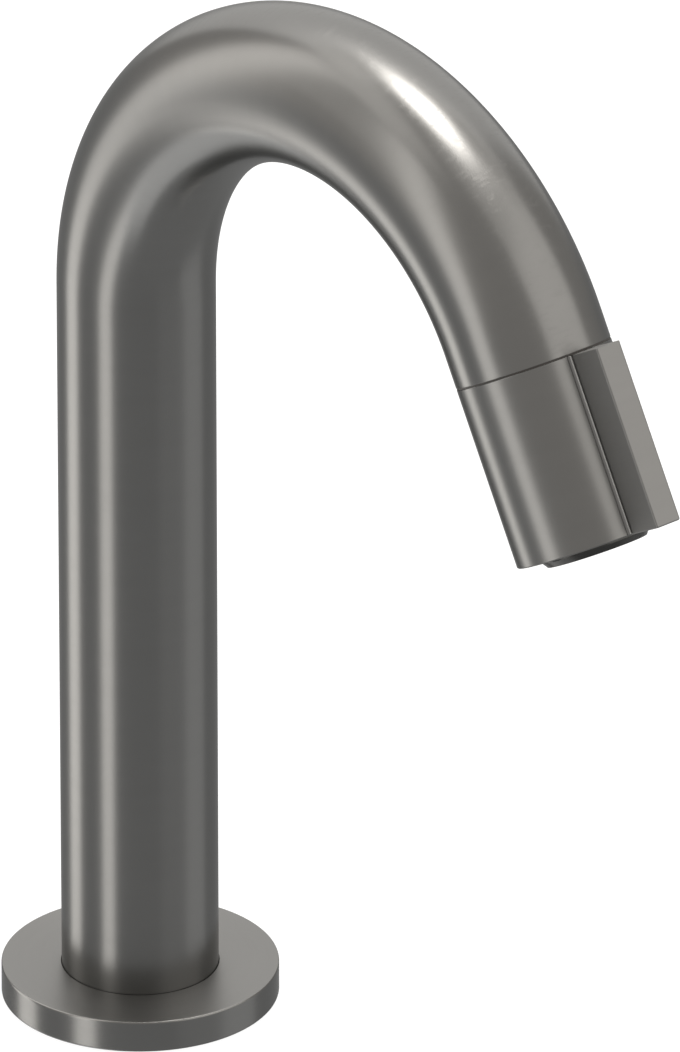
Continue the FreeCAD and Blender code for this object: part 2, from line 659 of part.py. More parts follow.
def flow_regulator():
    """Disc with a ring of small holes round a plain hub."""
    outer = AERATOR_BORE_R - THREAD_GAP
    circle = (REGULATOR_HUB_RADIUS + outer) / 2
    turns = (2 * math.pi * hole / REGULATOR_HOLES for hole in range(REGULATOR_HOLES))
    holes = [Part.makeCylinder(REGULATOR_HOLE / 2, SCREEN_START - REGULATOR_START,
                               point(circle * math.cos(turn), circle * math.sin(turn),
                                     REGULATOR_START))
             for turn in turns]
    return cylinder(outer, REGULATOR_START, SCREEN_START).cut(holes)


ON_THE_POST = [body_tube, rosette, rosette_gasket, foot_seal, base_plug, shank_seal,
               threaded_shank, under_deck_washer, clamp_washer, lock_nut]
AT_THE_OUTLET = [spout_nose, sleeve_ring, glide_ring, cartridge_housing, housing_ring,
                 seat_seal, fixed_disc, turning_disc, spindle, spindle_rings, glide_washer,
                 spindle_circlip, handle_sleeve, handle_nut, aerator_seal, aerator_shell,
                 aerator_insert, aerator_screen, flow_regulator]


def export(name, shape):
    solids = ", ".join(f"{solid.Volume:.1f}" for solid in shape.Solids)
    print(f"{name}: valid {shape.isValid()}, volume {solids} mm3")
    shape.exportStep(f"parts/{name}.step")


def main():
    os.makedirs("parts", exist_ok=True)
    for build in ON_THE_POST:
        export(build.__name__, build())
    for build in AT_THE_OUTLET:
        export(build.__name__, at_outlet(build()))
    place = outlet_placement()
    mouth = place.multVec(point(0, 0, AERATOR_END))
    print(f"reach {-mouth.y:.2f}, outlet height {mouth.z:.2f}, tube end {place.Base}")


main()
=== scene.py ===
"""Looks of the basin tap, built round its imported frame.

Metres, +Z up, spout towards -Y. Pieces at the outlet are drawn along their own +Z, which points out of
the tube from its end face, with +Y on the outer side of the bend, and are then laid onto the joint.
"""
import math

import bmesh
import bpy
from mathutils import Matrix, Quaternion, Vector
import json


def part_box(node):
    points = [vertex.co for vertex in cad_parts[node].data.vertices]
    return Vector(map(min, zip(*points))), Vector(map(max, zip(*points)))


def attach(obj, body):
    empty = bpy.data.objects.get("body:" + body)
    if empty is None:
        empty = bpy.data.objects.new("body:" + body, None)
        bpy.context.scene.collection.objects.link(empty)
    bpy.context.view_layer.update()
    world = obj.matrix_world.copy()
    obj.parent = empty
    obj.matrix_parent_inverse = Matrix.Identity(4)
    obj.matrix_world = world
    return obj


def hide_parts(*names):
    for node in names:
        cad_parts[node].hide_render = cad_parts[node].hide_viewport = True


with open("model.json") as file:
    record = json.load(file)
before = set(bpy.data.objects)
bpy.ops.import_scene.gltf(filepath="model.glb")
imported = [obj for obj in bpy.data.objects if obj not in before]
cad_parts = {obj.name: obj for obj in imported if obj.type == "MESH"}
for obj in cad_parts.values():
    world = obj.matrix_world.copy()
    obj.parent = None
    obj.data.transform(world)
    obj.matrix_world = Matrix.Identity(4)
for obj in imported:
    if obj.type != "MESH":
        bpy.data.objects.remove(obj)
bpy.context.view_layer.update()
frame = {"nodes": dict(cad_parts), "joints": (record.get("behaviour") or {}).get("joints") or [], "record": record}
MM = 0.001

# Tube, as far as the frame's boxes don't give it
TUBE_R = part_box("body_tube")[1].x
TUBE_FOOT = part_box("body_tube")[0].z
TUBE_WALL = 1.5 * MM
TUBE_BORE_R = TUBE_R - TUBE_WALL
BEND_RADIUS = 54 * MM
BEND_START = 139.5 * MM
BEND_ANGLE = math.radians(151)
SPOUT_STRAIGHT = 5.6 * MM
BEND_END = BEND_START + BEND_RADIUS * BEND_ANGLE
TUBE_END = BEND_END + SPOUT_STRAIGHT
EDGE_BREAK = 0.2 * MM

# Seam between tube and sleeve, with its dark ring
SEAM_EDGE = 0.05 * MM
SEAM_RING_BORE_R = 11.6 * MM
SEAM_RING_INSET = 0.07 * MM
SEAM_RING_END = 0.3 * MM

# Rosette
ROSETTE_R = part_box("rosette")[1].x
ROSETTE_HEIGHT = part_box("rosette")[1].z
ROSETTE_ROUND = 0.35 * MM
RECESS_GAP = 0.12 * MM
RECESS_R = TUBE_R + RECESS_GAP
SHANK_HOLE_R = 10.83 * MM
GASKET_WIDTH = 4.9 * MM
GASKET_OUTER_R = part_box("rosette_gasket")[1].x
GASKET_INNER_R = GASKET_OUTER_R - GASKET_WIDTH
GASKET_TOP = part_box("rosette_gasket")[1].z
FOOT_SEAL_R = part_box("foot_seal")[1].x
FOOT_SEAL_WIDTH = 1.2 * MM
FOOT_SEAL_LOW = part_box("foot_seal")[0].z

# Sleeve handle, in the outlet's own frame
SLEEVE_START = 0.35 * MM
SLEEVE_END = 32.75 * MM
SLEEVE_BORE_R = 11.55 * MM
BAR_HALF = 2.65 * MM
BAR_REACH = 21.6 * MM
BAR_EDGE_ROUND = 0.3 * MM
ROOT_BEVEL = (0.18 * MM, 0.34 * MM)
ROOT_LINE_WIDTH = 0.42 * MM
ROOT_LINE_DEPTH = 0.15 * MM
WEB_START = 13.5 * MM
WEB_END = 18.5 * MM
DRIVE_R = 5.35 * MM
DRIVE_HALF_FLATS = 4.45 * MM
CHAMBER_R = 7.5 * MM
CHAMBER_END = 22.9 * MM
AERATOR_HOLE_R = 9.75 * MM

# Aerator shell, in the outlet's own frame
AERATOR_START = 24.4 * MM
AERATOR_END = 34.25 * MM
AERATOR_R = 9.7 * MM
AERATOR_BORE_R = 8.35 * MM
AERATOR_LIP_R = 7.65 * MM
AERATOR_LIP_START = 33 * MM
AERATOR_CONE = (1.0 * MM, 0.7 * MM)

# Inlet shank with its half inch pipe thread
SHANK_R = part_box("threaded_shank")[1].x
SHANK_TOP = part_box("threaded_shank")[1].z
SHANK_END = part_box("threaded_shank")[0].z
SHANK_BORE_R = 6.4775 * MM
SHANK_CHAMFER = 1 * MM
RELIEF_WIDTH = 2 * MM
RELIEF_DEPTH = 1.2 * MM
RELIEF_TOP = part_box("lock_nut")[0].z
RELIEF_LOW = RELIEF_TOP - RELIEF_WIDTH
THREAD_PITCH = 1.814 * MM
THREAD_DEPTH = 1.0 * MM

# Shares of the thread's depth: what a flank falls per pitch, and what is cut off the crest
FLANK_FALL = 2.6
CREST_CUT = 0.15

# Washers under the deck
WASHER_BORE_R = 10.78 * MM
RUBBER_WASHER_EDGE = 0.4 * MM
STEEL_WASHER_EDGE = 0.2 * MM

# Fineness of the meshes
AROUND = 160
ARC_STEPS = 5
POST_STEPS = 24
BEND_STEPS = 110
BORE_POST_STEPS = 2
BORE_BEND_STEPS = BEND_STEPS // 3
THREAD_STEPS = 10
SHARP = math.radians(32)

# Point just beside the root's bevel, in heights of the bevel
BESIDE_BEVEL = 1.5

# Middle of a small round, in from both its sides by this share of its radius
ROUND_MIDDLE = 0.3

# Brushed metal of the skins
GUNMETAL = (0.2245, 0.2235, 0.2185)
GRAZING_TINT = (0.75, 0.75, 0.75, 1)
ANISOTROPIC = 0.4
NOISE_LOW, NOISE_HIGH = 0.3, 0.7
NOISE_DETAIL = 2.0
GROOVE_NOISE_ROUGHNESS = 0.6
SCRATCH_FROM, SCRATCH_FULL = 0.57, 0.68
SCRATCH_ROUGHER = 0.02
BROAD_PITCHES = 9
BROAD_LENGTHS = 3
BROAD_TONE = 0.012

# Parts of the skins that are rougher
CROWN_FROM, CROWN_FULL = 0.8 * TUBE_R, 0.92 * TUBE_R
CROWN_SCRATCH_FROM, CROWN_SCRATCH_FULL = 0.57, 0.63
CROWN_SCRATCH_PITCH = 0.42 * MM
CROWN_SCRATCH_LENGTH = 2.6 * MM
BAR_MIDDLE = 17.9 * MM
BAR_HALF_BAND = 3.3 * MM
STRAIGHT_UP = 1.0
UP_WITHIN = 0.2

# Bare metal with lathe rings: colour, roughness and pitch of the rings for each slot
BARE = {
    "brass": ((0.62, 0.44, 0.19), 0.3, 0.25 * MM),
    "stainless": ((0.56, 0.55, 0.53), 0.34, 0.3 * MM),
    "gunmetal": (GUNMETAL, 0.33, 0.4 * MM),
}
RING_LENGTH = 30 * MM
RING_DEPTH = 0.002 * MM
RING_TONE = 0.08
RING_ROUGHNESS = 0.05

# Moulded and coated surfaces
GRAIN_DETAIL = 3.0
GRAIN_ROUGHNESS = 0.06
CLOUD_SCALE = 0.05
CLOUD_TONE = 0.12

# Camera, measured from the photograph
CAMERA_AZIMUTH = -41.482
CAMERA_ELEVATION = 25.972
CAMERA_DISTANCE = 3.65
CAMERA_LENS = 700.5
CAMERA_ROLL = math.radians(-0.067)
CAMERA_CLIP_END = 3 * CAMERA_DISTANCE
ORIGIN_IN_PICTURE = (-35.68 * MM, -82.39 * MM)

# Studio
TENT_RADIUS = 5
TENT_SEGMENTS = 48
TENT_RINGS = 24
TENT_BLEND = 0.15 * TENT_RADIUS
TENT_LOW = (0.38, 0.381, 0.379)
TENT_HIGH = (0.545, 0.525, 0.50)
TABLE_REACH = 12
TABLE_GLOW = (0.86, 0.86, 0.86, 1)
TABLE_MATT = (0.22, 0.22, 0.22, 1)
WHITE = (1, 1, 1, 1)
WORLD_SEEN = 1.0
WORLD_UNSEEN = 0.8
TAP_CENTRE = Vector((0, -0.05, 0.11))
WARM = (1.0, 0.968, 0.925)
NEUTRAL = (1.0, 0.995, 0.985)
SOFTBOXES = [
    # name, azimuth from the camera, elevation, width and height in degrees, distance, brightness, colour
    ("overhead_far", 160.5, 76.2, 22, 18.5, 3.5, 6.7, WARM),
    ("overhead_near", 132, 81.6, 21, 18.5, 3.5, 6.1, WARM),
    ("overhead_glow", 168, 69, 72, 36, 3.5, 0.45, WARM),
    ("zenith_glow", 58, 74, 44, 38, 3.5, 0.31, WARM),
    ("backdrop", 178, 30, 72, 64, 3.5, 0.72, NEUTRAL),
    ("left_far_strip", -109, 3.5, 22.5, 98, 0.5, 1.6, WARM),
    ("left_far_core", -109, -24, 21, 18, 0.5, 0.5, WARM),
    ("left_near_strip", -51.5, 4, 19, 94, 0.42, 1.6, WARM),
    ("left_near_core", -51.5, -28, 18, 18, 0.42, 0.2, WARM),
    ("left_fill", -84, 32, 26, 30, 3.5, 0.2, WARM),
    ("left_high", -88, 61, 48, 22, 3.5, 0.82, WARM),
    ("left_low", -86.5, -62, 65, 25, 3.5, 0.85, NEUTRAL),
    ("right_broad", 65, 28, 62, 52, 3.5, 0.8, WARM),
    ("right_low", 92, -28, 34, 34, 3.5, 0.28, NEUTRAL),
    ("right_soft", 52, -20, 36, 34, 3.5, 0.07, NEUTRAL),
    ("below", 0, -88, 90, 90, 3.5, 0.05, NEUTRAL),
]

# Placements of the two axes that round pieces are turned on
POST = Matrix.Identity(4)
joint = frame["joints"][0]
outlet_axis = Vector(joint["axis"])
outer_side = outlet_axis.cross(Vector((1, 0, 0)))
OUTLET = Matrix.Translation(joint["pos_m"]) @ Matrix(
    ((1, outer_side.x, outlet_axis.x), (0, outer_side.y, outlet_axis.y),
     (0, outer_side.z, outlet_axis.z))).to_4x4()


# Shapes


def straight(radius, height, angle):
    return Vector((radius * math.cos(angle), radius * math.sin(angle), height))


def at_outlet(radius, height, angle):
    return OUTLET @ straight(radius, height, angle)


def along_tube(radius, height, angle):
    """Like straight, with the axis bent as the tube is."""
    bent = min(max(height - BEND_START, 0) / BEND_RADIUS, BEND_ANGLE)
    along = Vector((0, -math.sin(bent), math.cos(bent)))
    outer = Vector((0, math.cos(bent), math.sin(bent)))
    centre = Vector((0, -BEND_RADIUS, BEND_START)) + outer * BEND_RADIUS
    rest = height - BEND_START - bent * BEND_RADIUS
    across = Vector((math.cos(angle), 0, 0)) + outer * math.sin(angle)
    return centre + along * rest + across * radius


def rounded(corners):
    """Closed outline whose corners (x, y, radius) are rounded, with a point just beside each arc."""
    points = []
    for place, (x, y, radius) in enumerate(corners):
        here = Vector((x, y))
        if radius == 0:
            points.append(here)
            continue
        before = (Vector(corners[place - 1][:2]) - here).normalized()
        after = (Vector(corners[(place + 1) % len(corners)][:2]) - here).normalized()
        half = before.angle(after) / 2
        reach = radius / math.tan(half)
        centre = here + (before + after).normalized() * radius / math.sin(half)
        first, last = here + before * reach - centre, here + after * reach - centre
        points.append(here + before * (reach + radius / 2))
        points += [centre + first.slerp(last, step / ARC_STEPS) * radius
                   for step in range(ARC_STEPS + 1)]
        points.append(here + after * (reach + radius / 2))
    return points


def spread(start, end, steps):
    """Evenly spaced values from start on, without the end itself."""
    return [start + (end - start) * step / steps for step in range(steps)]


def skin(name, rows, across, body, *stands_for):
    """Closed skin over rows of points. across holds each point's place in its own cross-section.

    The UV map runs along the rows' order in U. The flow attribute holds the same length with the place
    in the cross-section, so that a texture drawn from it has no seam.
    """
    count, width = len(rows), len(rows[0])
    lengths = [0.0]
    for row in range(count):
        lengths.append(lengths[-1] + (rows[(row + 1) % count][0] - rows[row][0]).length)
    faces, uvs = [], []
    for row in range(count):
        for column in range(width):
            corners = [(row, column), (row, column + 1), (row + 1, column + 1), (row + 1, column)]
            faces.append([r % count * width + c % width for r, c in corners])
            uvs += [value for r, c in corners for value in (lengths[r], c / width * TUBE_R)]
    mesh = bpy.data.meshes.new(name)
    mesh.from_pydata([point for row in rows for point in row], [], faces)
    mesh.uv_layers.new(name="UVMap").data.foreach_set("uv", uvs)
    flow = [value for row, length in zip(across, lengths) for x, y in row
            for value in (length, x, y)]
    mesh.attributes.new("flow", "FLOAT_VECTOR", "POINT").data.foreach_set("vector", flow)
    return placed(name, mesh, body, *stands_for)


def placed(name, mesh, body, *stands_for):
    """Smooth shading but for the sharp edges; the piece then rides on its body for its nodes."""
    worked = bmesh.new()
    worked.from_mesh(mesh)
    bmesh.ops.recalc_face_normals(worked, faces=worked.faces)
    for face in worked.faces:
        face.smooth = True
    for edge in worked.edges:
        edge.smooth = edge.calc_face_angle(0) < SHARP
    worked.to_mesh(mesh)
    worked.free()
    piece = bpy.data.objects.new(name, mesh)
    bpy.context.scene.collection.objects.link(piece)
    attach(piece, body)
    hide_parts(*stands_for)
    return piece


def turned(name, profile, place, body, *stands_for):
    """Skin of a closed (radius, height) profile taken all round, each point laid by place."""
    angles = spread(0, 2 * math.pi, AROUND)
    rows = [[place(radius, height, angle) for angle in angles] for radius, height in profile]
    across = [[straight(radius, 0, angle).xy for angle in angles] for radius, height in profile]
    return skin(name, rows, across, body, *stands_for)


def tube():
    """Post, bend and short straight, with a broken edge at the outlet."""
    outside = [Vector((TUBE_R, height)) for height in
               spread(TUBE_FOOT, BEND_START, POST_STEPS) + spread(BEND_START, BEND_END, BEND_STEPS)]
    inside = [Vector((TUBE_BORE_R, height)) for height in
              spread(BEND_END, BEND_START, BORE_BEND_STEPS)
              + spread(BEND_START, TUBE_FOOT, BORE_POST_STEPS)]
    end = rounded([(TUBE_R, BEND_END, 0), (TUBE_R, TUBE_END, SEAM_EDGE),
                   (TUBE_BORE_R, TUBE_END, 0), (TUBE_BORE_R, BEND_END, 0)])
    profile = outside + end[:-1] + inside + [Vector((TUBE_BORE_R, TUBE_FOOT))]
    return turned("swan_neck", profile, along_tube, "tap_body", "body_tube")


def rosette():
    """Foot disc with its recess, seal groove and gasket groove."""
    profile = rounded([
        (SHANK_HOLE_R, 0, 0), (GASKET_INNER_R, 0, 0), (GASKET_INNER_R, GASKET_TOP, 0),
        (GASKET_OUTER_R, GASKET_TOP, 0), (GASKET_OUTER_R, 0, 0),
        (ROSETTE_R, 0, ROSETTE_ROUND), (ROSETTE_R, ROSETTE_HEIGHT, ROSETTE_ROUND),
        (RECESS_R, ROSETTE_HEIGHT, SEAM_EDGE / 2), (RECESS_R, TUBE_FOOT, 0),
        (FOOT_SEAL_R, TUBE_FOOT, 0), (FOOT_SEAL_R, FOOT_SEAL_LOW, 0),
        (FOOT_SEAL_R - FOOT_SEAL_WIDTH, FOOT_SEAL_LOW, 0),
        (FOOT_SEAL_R - FOOT_SEAL_WIDTH, TUBE_FOOT, 0), (SHANK_HOLE_R, TUBE_FOOT, 0)])
    return turned("foot_disc", profile, straight, "tap_body", "rosette")


def sleeve_outline(inset):
    """Cross-section of the sleeve with its bar, drawn in by inset; a fine line runs along the bar."""
    radius, half = TUBE_R - inset, BAR_HALF - inset
    reach, edge = BAR_REACH - inset, BAR_EDGE_ROUND - inset / 2
    across, up = ROOT_BEVEL
    foot_y = math.sqrt(radius ** 2 - (half + across) ** 2)
    bar = rounded([(half, foot_y, 0), (half, reach, edge), (-half, reach, edge), (-half, foot_y, 0)])
    # The right corner's arc has ARC_STEPS + 1 points and one beside each of its ends
    right_corner = bar[1:ARC_STEPS + 4]
    right_side = [Vector((half + across, foot_y)), Vector((half, foot_y + up)),
                  Vector((half, foot_y + BESIDE_BEVEL * up))] + right_corner
    left_side = [Vector((-point.x, point.y)) for point in reversed(right_side)]
    start = math.atan2(half + across, foot_y)
    line = ROOT_LINE_WIDTH / radius
    turns = [-start - line / 2] + spread(-start - line, start + line - 2 * math.pi, AROUND)
    turns += [start + line, start + line / 2]
    reaches = [radius - ROOT_LINE_DEPTH] + [radius] * (AROUND + 1) + [radius - ROOT_LINE_DEPTH]
    back = [Vector((math.sin(turn), math.cos(turn))) * far for turn, far in zip(turns, reaches)]
    return right_side + left_side + back


def sleeve():
    """Sleeve with its lever bar, web and bores."""
    outline = sleeve_outline(0)
    soft = sleeve_outline(SEAM_EDGE * ROUND_MIDDLE)
    inset = sleeve_outline(SEAM_EDGE)
    end = sleeve_outline(EDGE_BREAK)
    directions = [point.normalized() for point in outline]

    def bore(radius):
        return [direction * radius for direction in directions]

    drive = [Vector((min(max(point.x, -DRIVE_HALF_FLATS), DRIVE_HALF_FLATS), point.y))
             for point in bore(DRIVE_R)]
    rim = AERATOR_HOLE_R + EDGE_BREAK / 2
    levels = [
        (inset, SLEEVE_START), (soft, SLEEVE_START + SEAM_EDGE * ROUND_MIDDLE),
        (outline, SLEEVE_START + SEAM_EDGE), (outline, SLEEVE_START + 2 * SEAM_EDGE),
        (outline, (SLEEVE_START + SLEEVE_END) / 2), (outline, SLEEVE_END - 2 * EDGE_BREAK),
        (outline, SLEEVE_END - EDGE_BREAK), (end, SLEEVE_END), (bore(rim), SLEEVE_END),
        (bore(AERATOR_HOLE_R), SLEEVE_END - EDGE_BREAK / 2),
        (bore(AERATOR_HOLE_R), CHAMBER_END), (bore(CHAMBER_R), CHAMBER_END),
        (bore(CHAMBER_R), WEB_END), (drive, WEB_END), (drive, WEB_START),
        (bore(SLEEVE_BORE_R), WEB_START), (bore(SLEEVE_BORE_R), SLEEVE_START)]
    rows = [[OUTLET @ Vector((*point, height)) for point in section] for section, height in levels]
    across = [section for section, height in levels]
    return skin("lever_sleeve", rows, across, "handle", "handle_sleeve")


def seam_ring():
    """Thin dark ring that shows as the line of the seam and fills it almost to the skin."""
    outer = TUBE_R - SEAM_RING_INSET
    profile = [Vector(corner) for corner in (
        (SEAM_RING_BORE_R, 0), (outer, 0), (outer, SEAM_RING_END), (SEAM_RING_BORE_R, SEAM_RING_END))]
    return turned("glide_line", profile, at_outlet, "tap_body", "glide_ring")


def aerator():
    """Ring that shows below the sleeve as a short cone; its thread is a plain cylinder."""
    cone_length, cone_step = AERATOR_CONE
    profile = rounded([
        (AERATOR_BORE_R, AERATOR_START, 0), (AERATOR_R, AERATOR_START, EDGE_BREAK),
        (AERATOR_R, AERATOR_END - cone_length, EDGE_BREAK),
        (AERATOR_R - cone_step, AERATOR_END, EDGE_BREAK / 2),
        (AERATOR_LIP_R, AERATOR_END, EDGE_BREAK), (AERATOR_LIP_R, AERATOR_LIP_START, 0),
        (AERATOR_BORE_R, AERATOR_LIP_START, 0)])
    return turned("outlet_ring", profile, at_outlet, "handle", "aerator_shell")


def shank():
    """Hollow shank with a real right-hand helix, cut by its relief groove and end chamfer."""
    steps = round((SHANK_TOP - SHANK_END) / THREAD_PITCH * THREAD_STEPS)
    heights = spread(SHANK_TOP, SHANK_END, steps) + [SHANK_END]

    def threaded(radius, height, angle):
        if radius < SHANK_R:
            return straight(radius, height, angle)
        phase = (height / THREAD_PITCH - angle / (2 * math.pi)) % 1
        flank = min(max(FLANK_FALL * abs(phase - 0.5) - CREST_CUT, 0), 1)
        limit = min(SHANK_R, SHANK_R - SHANK_CHAMFER + height - SHANK_END)
        if RELIEF_LOW <= height <= RELIEF_TOP:
            limit = SHANK_R - RELIEF_DEPTH
        return straight(min(SHANK_R - THREAD_DEPTH * flank, limit), height, angle)

    profile = [(SHANK_R, height) for height in reversed(heights)]
    profile += [(SHANK_BORE_R, SHANK_TOP), (SHANK_BORE_R, SHANK_END)]
    return turned("shank_thread", profile, threaded, "tap_body", "threaded_shank")


def soft_ring(name, node, bore_radius, edge, body):
    """Flat ring on the post's axis in a node's box, with rounded edges."""
    low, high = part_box(node)
    profile = rounded([(bore_radius, low.z, edge), (high.x, low.z, edge), (high.x, high.z, edge),
                       (bore_radius, high.z, edge)])
    return turned(name, profile, straight, body, node)


# Materials


def node(tree, kind, inputs=(), **settings):
    """New shader node; an input is a plain value or another node's output."""
    made = tree.nodes.new("ShaderNode" + kind)
    for key, value in settings.items():
        setattr(made, key, value)
    for key, value in dict(inputs).items():
        if isinstance(value, bpy.types.NodeSocket):
            tree.links.new(value, made.inputs[key])
        else:
            made.inputs[key].default_value = value
    return made


def surface(name, colour, metallic, roughness, **sockets):
    """Material with its shader's plain sockets set."""
    made = bpy.data.materials.new(name)
    made.use_nodes = True
    shader = made.node_tree.nodes["Principled BSDF"]
    values = {"Base Color": (*colour, 1), "Metallic": metallic, "Roughness": roughness}
    values.update({key.replace("_", " "): value for key, value in sockets.items()})
    for key, value in values.items():
        shader.inputs[key].default_value = value
    return made, made.node_tree, shader


def ranged(tree, noise, low, high):
    """Noise between its usual limits spread from low to high."""
    return node(tree, "MapRange", {"Value": noise, "From Min": NOISE_LOW, "From Max": NOISE_HIGH,
                                   "To Min": low, "To Max": high}).outputs["Result"]


def toned(tree, shader, colour, noise, change):
    """Base colour that the noise makes darker and lighter by up to change."""
    tone = ranged(tree, noise, 1 - change, 1 + change)
    made = node(tree, "VectorMath", {0: colour, "Scale": tone}, operation="SCALE")
    tree.links.new(made.outputs["Vector"], shader.inputs["Base Color"])


def grooves(tree, flow, pitch, length):
    """Noise drawn out round the piece: pitch apart along it, length long round it."""
    scale = (1 / pitch, 1 / length, 1 / length)
    stretched = node(tree, "VectorMath", {0: flow, 1: scale}, operation="MULTIPLY")
    return node(tree, "TexNoise", {"Vector": stretched.outputs["Vector"], "Scale": 1.0,
                                   "Detail": NOISE_DETAIL,
                                   "Roughness": GROOVE_NOISE_ROUGHNESS}).outputs["Fac"]


def bumped(tree, shader, height, depth):
    made = node(tree, "Bump", {"Height": height, "Distance": depth, "Strength": 1.0})
    tree.links.new(made.outputs["Normal"], shader.inputs["Normal"])


def brushed_metal(name, roughness, pitch, length, depth, where, rougher):
    """Gunmetal brushed round the piece, for the skins; where says which part of it is rougher."""
    made, tree, shader = surface(name, GUNMETAL, 1.0, roughness, Anisotropic=ANISOTROPIC,
                                 Specular_Tint=GRAZING_TINT)
    tangent = node(tree, "Tangent", direction_type="UV_MAP", uv_map="UVMap")
    tree.links.new(tangent.outputs["Tangent"], shader.inputs["Tangent"])
    flow = node(tree, "Attribute", attribute_name="flow").outputs["Vector"]
    fine = grooves(tree, flow, pitch, length)
    broad = grooves(tree, flow, pitch * BROAD_PITCHES, length * BROAD_LENGTHS)
    toned(tree, shader, GUNMETAL, broad, BROAD_TONE)
    scratches = node(tree, "MapRange", {"Value": fine, "From Min": SCRATCH_FROM,
                                        "From Max": SCRATCH_FULL, "To Min": roughness,
                                        "To Max": roughness + SCRATCH_ROUGHER}).outputs["Result"]
    total = node(tree, "Math", {0: where(tree, flow), 1: rougher, 2: scratches},
                 operation="MULTIPLY_ADD").outputs["Value"]
    tree.links.new(total, shader.inputs["Roughness"])
    bumped(tree, shader, fine, depth)
    return made


def crown_scratches(tree, flow):
    """1 in a few scratches on the outer side of the tube, 0 elsewhere."""
    outwards = node(tree, "SeparateXYZ", {"Vector": flow}).outputs["Z"]
    crown = node(tree, "MapRange", {"Value": outwards, "From Min": CROWN_FROM,
                                    "From Max": CROWN_FULL}).outputs["Result"]
    lines = grooves(tree, flow, CROWN_SCRATCH_PITCH, CROWN_SCRATCH_LENGTH)
    return node(tree, "MapRange", {"Value": lines, "From Min": CROWN_SCRATCH_FROM,
                                   "From Max": CROWN_SCRATCH_FULL,
                                   "To Max": crown}).outputs["Result"]


def bar_sides(tree, flow):
    """1 on the lever bar between its root and its outer edge, 0 elsewhere."""
    outwards = node(tree, "SeparateXYZ", {"Vector": flow}).outputs["Z"]
    return node(tree, "Math", {0: outwards, 1: BAR_MIDDLE, 2: BAR_HALF_BAND},
                operation="COMPARE").outputs["Value"]


def upper_faces(tree, flow):
    """1 where the surface looks up, 0 elsewhere."""
    normal = node(tree, "NewGeometry").outputs["Normal"]
    upwards = node(tree, "SeparateXYZ", {"Vector": normal}).outputs["Z"]
    return node(tree, "Math", {0: upwards, 1: STRAIGHT_UP, 2: UP_WITHIN},
                operation="COMPARE").outputs["Value"]


def turned_flow(tree, placement):
    """Flow of a turned solid from its own coordinates: the length along its skin, then x and y."""
    inverse = placement.inverted()
    place = node(tree, "TexCoord").outputs["Object"]
    local = node(tree, "Mapping", {"Vector": place, "Location": inverse.translation,
                                   "Rotation": inverse.to_euler()}).outputs["Vector"]
    parts = node(tree, "SeparateXYZ", {"Vector": local})
    flat = node(tree, "CombineXYZ", {"X": parts.outputs["X"], "Y": parts.outputs["Y"]})
    radius = node(tree, "VectorMath", {0: flat.outputs["Vector"]}, operation="LENGTH")
    along = node(tree, "Math", {0: radius.outputs["Value"], 1: parts.outputs["Z"]},
                 operation="ADD")
    return node(tree, "CombineXYZ", {"X": along.outputs["Value"], "Y": parts.outputs["X"],
                                     "Z": parts.outputs["Y"]}).outputs["Vector"]


def bare_metal(slot, tag, placement):
    """Bare metal of one slot, with the fine rings that a lathe leaves round the placement's axis."""
    colour, roughness, pitch = BARE[slot]
    made, tree, shader = surface(f"{slot}_{tag}", colour, 1.0, roughness)
    rings = grooves(tree, turned_flow(tree, placement), pitch, RING_LENGTH)
    toned(tree, shader, colour, rings, RING_TONE)
    tree.links.new(ranged(tree, rings, roughness - RING_ROUGHNESS, roughness + RING_ROUGHNESS),
                   shader.inputs["Roughness"])
    bumped(tree, shader, rings, RING_DEPTH)
    return made


def moulded(name, colour, roughness, grain, depth, **sockets):
    """Rubber, plastic, ceramic or coat: an even colour with a fine grain and faint clouds."""
    made, tree, shader = surface(name, colour, 0.0, roughness, **sockets)
    place = node(tree, "TexCoord").outputs["Object"]
    fine = node(tree, "TexNoise", {"Vector": place, "Scale": 1 / grain, "Detail": GRAIN_DETAIL})
    clouds = node(tree, "TexNoise", {"Vector": place, "Scale": CLOUD_SCALE / grain,
                                     "Detail": NOISE_DETAIL})
    toned(tree, shader, colour, clouds.outputs["Fac"], CLOUD_TONE)
    tree.links.new(ranged(tree, fine.outputs["Fac"], roughness - GRAIN_ROUGHNESS,
                          roughness + GRAIN_ROUGHNESS), shader.inputs["Roughness"])
    bumped(tree, shader, fine.outputs["Fac"], depth)
    return made


PLAIN = {
    "rubber": moulded("rubber", (0.022, 0.022, 0.022), roughness=0.62,
                      grain=0.25 * MM, depth=0.004 * MM),
    "ceramic": moulded("ceramic", (0.82, 0.81, 0.78), roughness=0.18,
                       grain=0.2 * MM, depth=0.0002 * MM, Coat_Weight=0.3),
    "dark_plastic": moulded("dark_plastic", (0.045, 0.04, 0.036), roughness=0.5,
                            grain=0.2 * MM, depth=0.003 * MM),
    "grey_plastic": moulded("grey_plastic", (0.15, 0.15, 0.15), roughness=0.45,
                            grain=0.2 * MM, depth=0.003 * MM),
    "dark_metal": moulded("dark_coat", (0.065, 0.065, 0.063), roughness=0.26,
                          grain=0.15 * MM, depth=0.0004 * MM, Metallic=1.0),
}


def dress_cad_nodes():
    """Give each CAD node the finish of its slot, along the axis it lies on."""
    at_post = {slot: bare_metal(slot, "post", POST) for slot in BARE}
    at_spout = {slot: bare_metal(slot, "outlet", OUTLET) for slot in BARE}
    middle = (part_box("body_tube")[0].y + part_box("body_tube")[1].y) / 2
    for row in frame["record"]["subparts"]:
        bare = at_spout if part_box(row["node"])[1].y < middle else at_post
        finish = {**PLAIN, **bare}[row["material_slot"]]
        for slot in frame["nodes"][row["node"]].material_slots:
            slot.material = finish


def dress(piece, finish):
    piece.data.materials.append(finish)


# Studio


